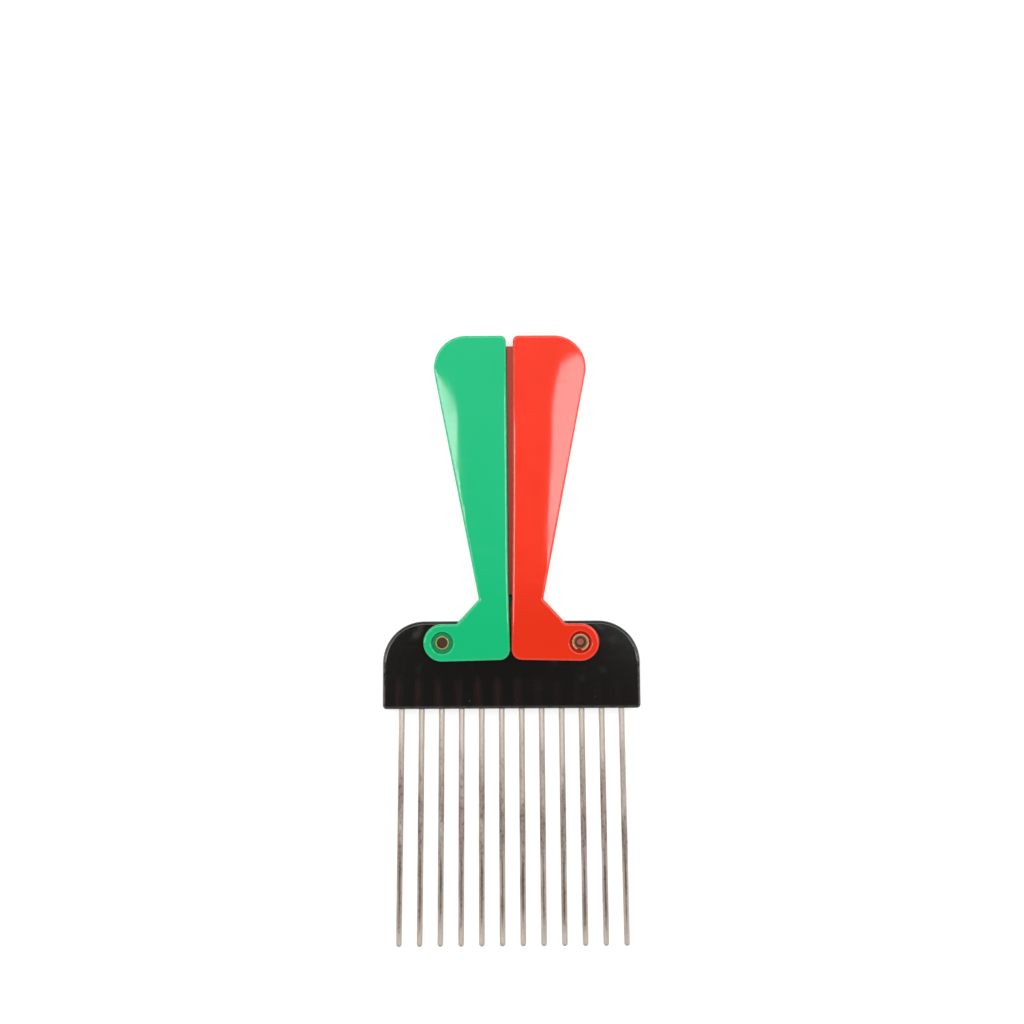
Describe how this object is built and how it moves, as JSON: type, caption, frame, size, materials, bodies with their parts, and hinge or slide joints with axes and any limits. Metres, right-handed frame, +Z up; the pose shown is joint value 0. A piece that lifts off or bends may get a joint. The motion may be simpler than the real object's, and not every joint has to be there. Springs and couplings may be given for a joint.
{
  "type": "folding afro pick",
  "caption": "Afro pick with long round steel tines in a black moulded head and two coloured channel handles that hinge on hollow rivets and fold down over the tines.",
  "frame": {"origin": "under the middle of the open pick, on the surface that it lies on", "axes": "+X across the comb head, to the right in the front view; +Y from the tine tips towards the handle ends; +Z up out of the front faces"},
  "size_m": [0.0858, 0.2036, 0.0098],
  "materials": {
    "green_plastic": "glossy injection-moulded green",
    "red_plastic": "glossy injection-moulded red",
    "head_plastic": "satin-gloss injection-moulded black",
    "tine_steel": "bright drawn steel wire, lightly nickelled",
    "rivet_brass": "polished brass tube, clenched cold"
  },
  "bodies": {
    "head": {"comb_head": "head_plastic", "tine_01": "tine_steel", "tine_02": "tine_steel", "tine_03": "tine_steel", "tine_04": "tine_steel", "tine_05": "tine_steel", "tine_06": "tine_steel", "tine_07": "tine_steel", "tine_08": "tine_steel", "tine_09": "tine_steel", "tine_10": "tine_steel", "tine_11": "tine_steel", "tine_12": "tine_steel", "left_rivet": "rivet_brass", "right_rivet": "rivet_brass"},
    "left_handle": {"left_handle": "green_plastic"},
    "right_handle": {"right_handle": "red_plastic"}
  },
  "joints": [
    {"name": "left_handle_fold", "type": "hinge", "parent": "head", "child": "left_handle", "pos_m": [-0.023, -0.00025, 0.0049], "axis": [0, 0, 1], "range_deg": [0, 180]},
    {"name": "right_handle_fold", "type": "hinge", "parent": "head", "child": "right_handle", "pos_m": [0.023, -0.00025, 0.0049], "axis": [0, 0, -1], "range_deg": [0, 180]}
  ]
}
